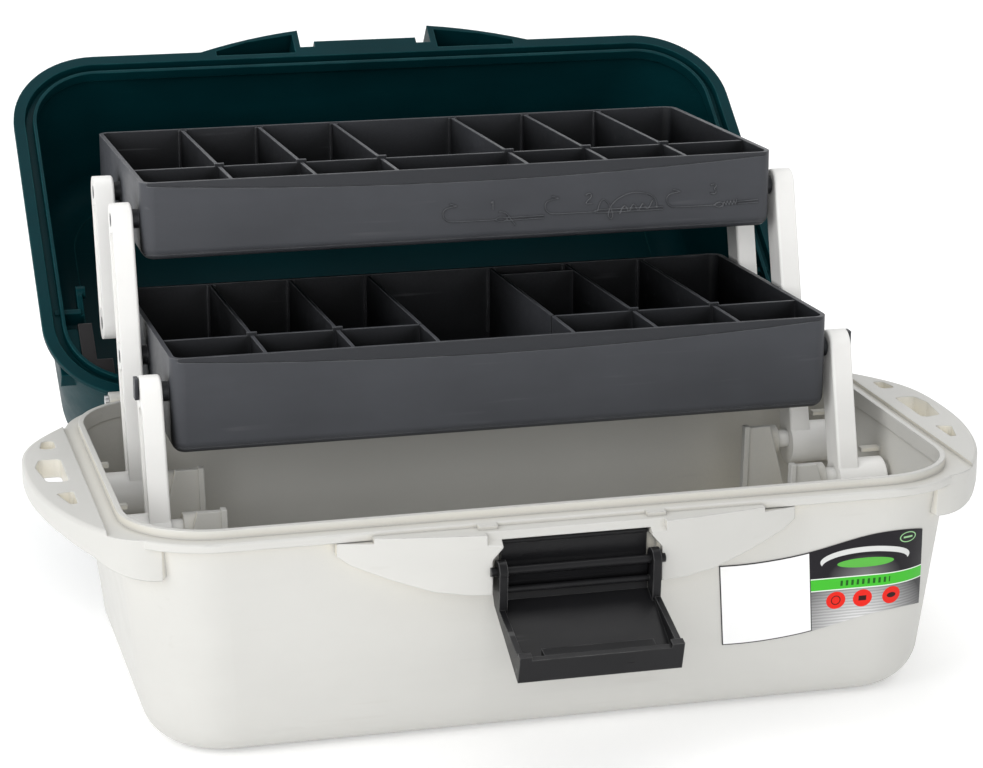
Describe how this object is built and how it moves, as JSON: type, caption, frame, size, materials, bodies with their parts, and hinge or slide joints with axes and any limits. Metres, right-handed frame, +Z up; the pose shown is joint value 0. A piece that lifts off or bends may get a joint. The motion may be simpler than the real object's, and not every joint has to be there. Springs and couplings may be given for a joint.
{
  "type": "fishing tackle box",
  "caption": "Fishing tackle box with an off-white tub, hinged green lid, front latch, carry handle and cantilever trays on swinging arms.",
  "frame": {"origin": "centre of the tub's flat bottom, on the ground", "axes": "X along the box, Y from the latch side to the hinge side, +Z up; stored with the lid open and the trays raised"},
  "size_m": [0.4062, 0.461, 0.2332],
  "materials": {
    "tub_plastic": "off-white moulded polypropylene, fine satin",
    "lid_plastic": "dark green moulded polypropylene, satin with paler rubbed edges",
    "tray_plastic": "charcoal moulded polypropylene, fine texture",
    "arm_plastic": "white moulded polypropylene",
    "latch_plastic": "black moulded polypropylene, slightly scuffed",
    "handle_plastic": "black moulded polypropylene, fine texture",
    "lift_block_plastic": "dark grey moulded plastic",
    "steel_pin": "plain drawn steel",
    "label_film": null
  },
  "bodies": {
    "tub": {"tub": "tub_plastic", "hinge_pin_left": "steel_pin", "hinge_pin_right": "steel_pin", "latch_plate": "latch_plastic", "latch_pin": "latch_plastic", "front_label": "label_film"},
    "lid": {"lid": "lid_plastic", "handle_pin_left": "steel_pin", "handle_pin_right": "steel_pin", "lift_block_left": "lift_block_plastic", "lift_block_right": "lift_block_plastic"},
    "carry_handle": {"carry_handle": "handle_plastic"},
    "front_arms": {"front_arm_left": "arm_plastic", "front_arm_right": "arm_plastic"},
    "long_arms": {"long_arm_left": "arm_plastic", "long_arm_right": "arm_plastic"},
    "rear_arms": {"rear_arm_left": "arm_plastic", "rear_arm_right": "arm_plastic"},
    "lower_tray": {"lower_tray": "tray_plastic", "lower_cross_dividers": "tray_plastic", "lower_long_divider_left": "tray_plastic", "lower_long_divider_right": "tray_plastic", "lower_short_divider": "tray_plastic"},
    "upper_tray": {"upper_tray": "tray_plastic", "upper_cross_dividers": "tray_plastic", "upper_long_divider": "tray_plastic"},
    "latch": {"latch_lever": "latch_plastic"}
  },
  "joints": [
    {"name": "lid_hinge", "type": "hinge", "parent": "tub", "child": "lid", "pos_m": [0, 0.1053, 0.0966], "axis": [1, 0, 0], "range_deg": [0, 142]},
    {"name": "carry_handle_swing", "type": "hinge", "parent": "lid", "child": "carry_handle", "pos_m": [0, 0.24523, 0.08854], "axis": [1, 0, 0], "range_deg": [-44, 120]},
    {"name": "long_arm_swing", "type": "hinge", "parent": "tub", "child": "long_arms", "pos_m": [0, 0.047, 0.0735], "axis": [1, 0, 0], "range_deg": [0, 67]},
    {"name": "front_arm_swing", "type": "hinge", "parent": "tub", "child": "front_arms", "pos_m": [0, -0.013, 0.0735], "axis": [1, 0, 0], "range_deg": [0, 67]},
    {"name": "lower_tray_level", "type": "hinge", "parent": "long_arms", "child": "lower_tray", "pos_m": [0, 0.06175, 0.12856], "axis": [1, 0, 0], "range_deg": [-67, 0]},
    {"name": "upper_tray_level", "type": "hinge", "parent": "long_arms", "child": "upper_tray", "pos_m": [0, 0.07702, 0.18555], "axis": [1, 0, 0], "range_deg": [-67, 0]},
    {"name": "rear_arm_swing", "type": "hinge", "parent": "lower_tray", "child": "rear_arms", "pos_m": [0, 0.12175, 0.12856], "axis": [1, 0, 0], "range_deg": [0, 67]},
    {"name": "latch_swing", "type": "hinge", "parent": "tub", "child": "latch", "pos_m": [0, -0.115, 0.0794], "axis": [1, 0, 0], "range_deg": [-117, 0]}
  ],
  "couplings": [
    {"joint": "long_arm_swing", "follows": "lid_hinge", "ratio": 0.47183},
    {"joint": "front_arm_swing", "follows": "lid_hinge", "ratio": 0.47183},
    {"joint": "lower_tray_level", "follows": "lid_hinge", "ratio": -0.47183},
    {"joint": "upper_tray_level", "follows": "lid_hinge", "ratio": -0.47183},
    {"joint": "rear_arm_swing", "follows": "lid_hinge", "ratio": 0.47183}
  ]
}
